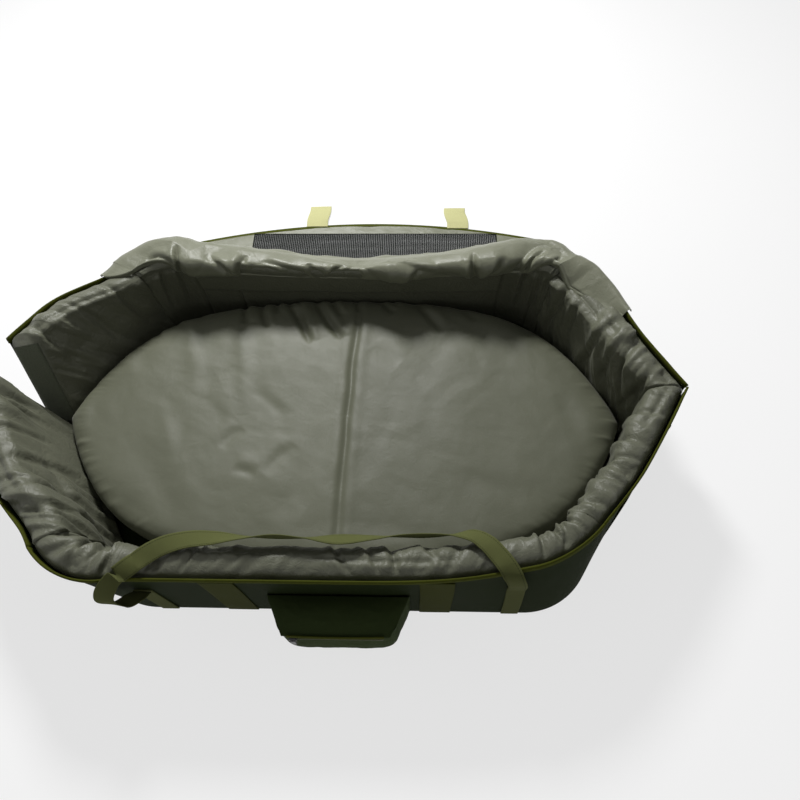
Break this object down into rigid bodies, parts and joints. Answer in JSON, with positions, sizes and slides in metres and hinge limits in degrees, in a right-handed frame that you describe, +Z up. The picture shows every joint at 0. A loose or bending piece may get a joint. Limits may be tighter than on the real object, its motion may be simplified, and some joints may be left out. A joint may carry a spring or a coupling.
{
  "type": "unhooking mat",
  "caption": "Padded fish unhooking mat with foam side walls, folding end panels, thick oval pad, zipped pocket, carrying handles and a fabric cover thrown over one side.",
  "frame": {"origin": "middle of the floor panel's underside, on the ground, half-way between the tips and between the long walls", "axes": "+X to the right tip, +Y to the back wall with the thrown-over cover, +Z up"},
  "size_m": [1.1905, 0.959, 0.2069],
  "materials": {
    "grey_lining": "satin",
    "dark_fabric": "matte",
    "olive_webbing": "matte",
    "handle_webbing": "matte",
    "foam": "matte",
    "tab_fabric": "matte",
    "mesh": "matte",
    "hook_and_loop": "matte",
    "zip_tape": "matte",
    "black_plastic": "satin"
  },
  "bodies": {
    "trough": {"back_foam": "foam", "back_lining": "grey_lining", "back_outer_cover": "dark_fabric", "back_rim_binding": "olive_webbing", "cover_hem": "grey_lining", "floor_panel": "dark_fabric", "front_band_left": "olive_webbing", "front_band_right": "olive_webbing", "front_foam": "foam", "front_handle_tail_left": "handle_webbing", "front_handle_tail_right": "handle_webbing", "front_lining": "grey_lining", "front_outer_cover": "dark_fabric", "front_rim_binding": "olive_webbing", "pad_base": "dark_fabric", "pad_cover": "grey_lining", "pad_foam_left": "foam", "pad_foam_right": "foam", "pocket_body": "dark_fabric", "pocket_zip": "zip_tape"},
    "left_front_panel": {"left_front_foam": "foam", "left_front_lining": "grey_lining", "left_front_outer_cover": "dark_fabric", "left_front_rim_binding": "olive_webbing", "left_front_closure_strip": "hook_and_loop", "left_front_webbing": "olive_webbing"},
    "left_front_buckle": {"left_front_buckle_plug": "black_plastic"},
    "left_back_panel": {"left_back_foam": "foam", "left_back_lining": "grey_lining", "left_back_outer_cover": "dark_fabric", "left_back_rim_binding": "olive_webbing", "left_back_closure_strip": "hook_and_loop", "left_back_webbing": "olive_webbing"},
    "left_back_buckle": {"left_back_buckle_socket": "black_plastic"},
    "right_front_panel": {"right_front_foam": "foam", "right_front_lining": "grey_lining", "right_front_outer_cover": "dark_fabric", "right_front_rim_binding": "olive_webbing", "right_front_closure_strip": "hook_and_loop", "right_front_webbing": "olive_webbing"},
    "right_front_buckle": {"right_front_buckle_plug": "black_plastic"},
    "right_back_panel": {"right_back_foam": "foam", "right_back_lining": "grey_lining", "right_back_outer_cover": "dark_fabric", "right_back_rim_binding": "olive_webbing", "right_back_closure_strip": "hook_and_loop", "right_back_webbing": "olive_webbing"},
    "right_back_buckle": {"right_back_buckle_socket": "black_plastic"},
    "front_handle_strap": {"front_handle": "handle_webbing"},
    "back_handle_strap": {"back_handle": "handle_webbing"},
    "pocket_flap": {"pocket_lid": "dark_fabric"},
    "slider": {"zip_slider": "black_plastic"},
    "pull": {"zip_pull": "black_plastic"},
    "cover_rim_part": {"cover_top": "grey_lining"},
    "cover_hanging_part": {"cover_drop": "grey_lining"},
    "cover_ground_part": {"cover_border": "grey_lining", "cover_mesh": "mesh", "cover_edge_tape": "olive_webbing", "cover_tab_left": "tab_fabric", "cover_tab_right": "tab_fabric"}
  },
  "joints": [
    {"name": "left_front_fold", "type": "hinge", "parent": "trough", "child": "left_front_panel", "pos_m": [-0.39891, -0.25345, 0], "axis": [0.5121, -0.8589, 0], "range_deg": [-18, 62]},
    {"name": "left_front_buckle_turn", "type": "hinge", "parent": "left_front_panel", "child": "left_front_buckle", "pos_m": [-0.58525, -0.03581, 0.13667], "axis": [-0.2654, -0.1582, 0.9511], "range_deg": [0, 120]},
    {"name": "left_back_fold", "type": "hinge", "parent": "trough", "child": "left_back_panel", "pos_m": [-0.39891, 0.25345, 0], "axis": [-0.5121, -0.8589, 0], "range_deg": [-20, 60]},
    {"name": "left_back_buckle_turn", "type": "hinge", "parent": "left_back_panel", "child": "left_back_buckle", "pos_m": [-0.54091, 0.11944, 0.13489], "axis": [0.2938, -0.1751, -0.9397], "range_deg": [0, 120]},
    {"name": "right_front_fold", "type": "hinge", "parent": "trough", "child": "right_front_panel", "pos_m": [0.39891, -0.25345, 0], "axis": [0.5121, 0.8589, 0], "range_deg": [0, 80]},
    {"name": "right_front_buckle_turn", "type": "hinge", "parent": "right_front_panel", "child": "right_front_buckle", "pos_m": [0.52548, -0.04895, 0.145], "axis": [0, 0, -1], "range_deg": [0, 120]},
    {"name": "right_back_fold", "type": "hinge", "parent": "trough", "child": "right_back_panel", "pos_m": [0.39891, 0.25345, 0], "axis": [-0.5121, 0.8589, 0], "range_deg": [0, 80]},
    {"name": "right_back_buckle_turn", "type": "hinge", "parent": "right_back_panel", "child": "right_back_buckle", "pos_m": [0.52548, 0.04895, 0.145], "axis": [0, 0, 1], "range_deg": [0, 120]},
    {"name": "front_handle_swing", "type": "hinge", "parent": "trough", "child": "front_handle_strap", "pos_m": [0, -0.3158, 0.125], "axis": [1, 0, 0], "range_deg": [0, 140]},
    {"name": "back_handle_swing", "type": "hinge", "parent": "trough", "child": "back_handle_strap", "pos_m": [0, 0.3132, 0.125], "axis": [1, 0, 0], "range_deg": [0, 12]},
    {"name": "pocket_lid_open", "type": "hinge", "parent": "trough", "child": "pocket_flap", "pos_m": [0.01, -0.3143, 0.1173], "axis": [-1, 0, 0], "range_deg": [0, 55]},
    {"name": "zip_travel", "type": "slide", "parent": "trough", "child": "slider", "axis": [1, 0, 0], "range_m": [0, 0.1238]},
    {"name": "zip_pull_tilt", "type": "hinge", "parent": "slider", "child": "pull", "pos_m": [-0.0519, -0.3775, 0.1097], "axis": [-1, 0, 0], "range_deg": [0, 110]},
    {"name": "cover_lift", "type": "hinge", "parent": "trough", "child": "cover_rim_part", "pos_m": [0.028, 0.2609, 0.2014], "axis": [1, 0, 0], "range_deg": [0, 180]},
    {"name": "cover_rim_bend", "type": "hinge", "parent": "cover_rim_part", "child": "cover_hanging_part", "pos_m": [0.028, 0.3245, 0.2014], "axis": [1, 0, 0], "range_deg": [0, 90]},
    {"name": "cover_ground_bend", "type": "hinge", "parent": "cover_hanging_part", "child": "cover_ground_part", "pos_m": [0.028, 0.36, 0.0011], "axis": [1, 0, 0], "range_deg": [-90, 0]}
  ],
  "couplings": [
    {"joint": "cover_rim_bend", "follows": "cover_lift", "ratio": 0.5},
    {"joint": "cover_ground_bend", "follows": "cover_lift", "ratio": -0.5}
  ]
}
